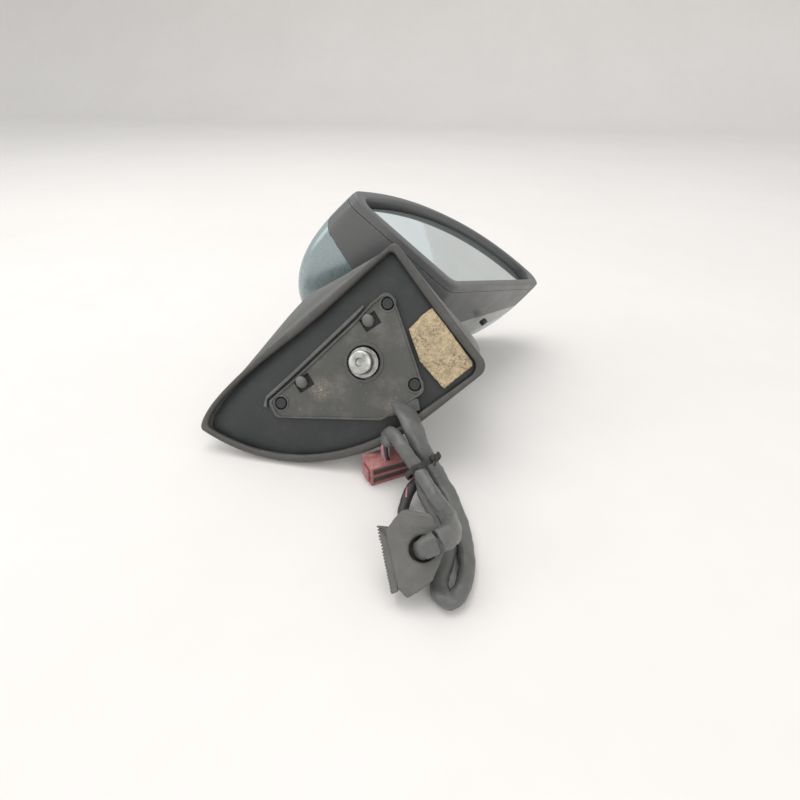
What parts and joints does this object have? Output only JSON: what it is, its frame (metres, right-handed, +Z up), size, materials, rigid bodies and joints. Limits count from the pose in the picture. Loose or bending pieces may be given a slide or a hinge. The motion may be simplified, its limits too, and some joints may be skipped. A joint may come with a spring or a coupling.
{
  "type": "car side mirror",
  "caption": "Folding powered door mirror with a triangular sealed foot, adjustable heated glass, painted shell and a wiring harness with connector and door grommet.",
  "frame": {"origin": "centre of the footprint, on the surface that the mirror lies on", "axes": "+Z up from the surface, +Y from the foot towards the mirror head, +X towards the foot's rear edge"},
  "size_m": [0.243, 0.3711, 0.1765],
  "materials": {
    "foot_plastic": "fine grain, matt",
    "gasket_rubber": "smooth rubber",
    "recess_plastic": "smooth, slightly dusty",
    "worn_steel": "worn bright",
    "plain_steel": "zinc plated",
    "foam": "aged open-cell foam",
    "cast_alloy": "as cast",
    "housing_plastic": "fine grain, matt",
    "cap_paint": "metallic paint",
    "cover_plastic": "painted, satin",
    "black_plastic": "smooth",
    "nylon": "moulded",
    "heater_film": "printed film",
    "mirror_glass": "silvered glass",
    "harness_sleeve": "soft ribbed sleeve",
    "cloth_tape": "wound tape",
    "grommet_rubber": "aged rubber foam",
    "connector_pink": "moulded"
  },
  "bodies": {
    "foot": {"base_shell": "foot_plastic", "base_gasket": "gasket_rubber", "recess_panel": "recess_plastic", "mounting_plate": "recess_plastic", "plate_pins": "recess_plastic", "locating_pegs": "recess_plastic", "mounting_stud": "worn_steel", "foam_pad": "foam", "edge_strip": "foot_plastic", "cable_gland": "gasket_rubber", "base_bracket": "cast_alloy", "bracket_bolts": "plain_steel", "pivot_post": "plain_steel", "pivot_seat": "foot_plastic", "base_detent_ring": "plain_steel", "fold_spring": "plain_steel", "spring_washer": "plain_steel", "retaining_ring": "plain_steel", "post_loom": "harness_sleeve", "harness_sleeve": "harness_sleeve", "branch_sleeve": "harness_sleeve", "thin_lead": "cloth_tape", "cable_tie": "black_plastic", "door_grommet": "grommet_rubber", "grommet_flange": "grommet_rubber", "connector_shell": "connector_pink", "connector_cores": "black_plastic"},
    "head": {"head_frame": "cast_alloy", "head_detent_ring": "plain_steel", "head_foot": "foot_plastic", "frame_screws": "plain_steel", "bezel": "housing_plastic", "rear_housing": "housing_plastic", "painted_cap": "cap_paint", "lower_cover": "cover_plastic", "temperature_sensor": "black_plastic", "actuator_body": "black_plastic", "actuator_motors": "plain_steel", "actuator_screws": "plain_steel"},
    "gimbal": {"gimbal_cross": "nylon"},
    "glass": {"glass_backing": "black_plastic", "heater_pad": "heater_film", "heater_tabs": "plain_steel", "mirror_glass": "mirror_glass"},
    "tilt_drive_rod": {"tilt_spindle": "nylon"},
    "pan_drive_rod": {"pan_spindle": "nylon"},
    "tilt_drive_nut": {"tilt_nut": "nylon"},
    "pan_drive_nut": {"pan_nut": "nylon"},
    "lock": {"connector_lock": "connector_pink"}
  },
  "joints": [
    {"name": "head_fold", "type": "hinge", "parent": "foot", "child": "head", "pos_m": [0.03777, -0.02362, 0.07264], "axis": [-0.682, 0.3434, 0.6457], "range_deg": [-55, 32]},
    {"name": "glass_tilt", "type": "hinge", "parent": "head", "child": "gimbal", "pos_m": [0.03384, 0.03587, 0.10423], "axis": [0.2975, 0.9368, -0.184], "range_deg": [-6, 6]},
    {"name": "glass_pan", "type": "hinge", "parent": "gimbal", "child": "glass", "pos_m": [0.03384, 0.03587, 0.10423], "axis": [-0.682, 0.3434, 0.6457], "range_deg": [-6, 6]},
    {"name": "tilt_rod_slide", "type": "slide", "parent": "head", "child": "tilt_drive_rod", "axis": [0.6681, -0.0666, 0.7411], "range_m": [-0.0028, 0.0028]},
    {"name": "pan_rod_slide", "type": "slide", "parent": "head", "child": "pan_drive_rod", "axis": [0.6681, -0.0666, 0.7411], "range_m": [-0.0028, 0.0028]},
    {"name": "tilt_nut_spin", "type": "hinge", "parent": "head", "child": "tilt_drive_nut", "pos_m": [0.0021, 0.04564, 0.10268], "axis": [0.6681, -0.0666, 0.7411], "range_deg": [-170, 170]},
    {"name": "pan_nut_spin", "type": "hinge", "parent": "head", "child": "pan_drive_nut", "pos_m": [0.02561, 0.05989, 0.08277], "axis": [0.6681, -0.0666, 0.7411], "range_deg": [-170, 170]},
    {"name": "connector_lock_slide", "type": "slide", "parent": "foot", "child": "lock", "axis": [-0.6157, 0.788, 0], "range_m": [0, 0.003]}
  ],
  "couplings": [
    {"joint": "tilt_rod_slide", "follows": "glass_tilt", "m_per_rad": 0.024},
    {"joint": "pan_rod_slide", "follows": "glass_pan", "m_per_rad": -0.024},
    {"joint": "tilt_nut_spin", "follows": "glass_tilt", "ratio": 25.133},
    {"joint": "pan_nut_spin", "follows": "glass_pan", "ratio": -25.133}
  ]
}
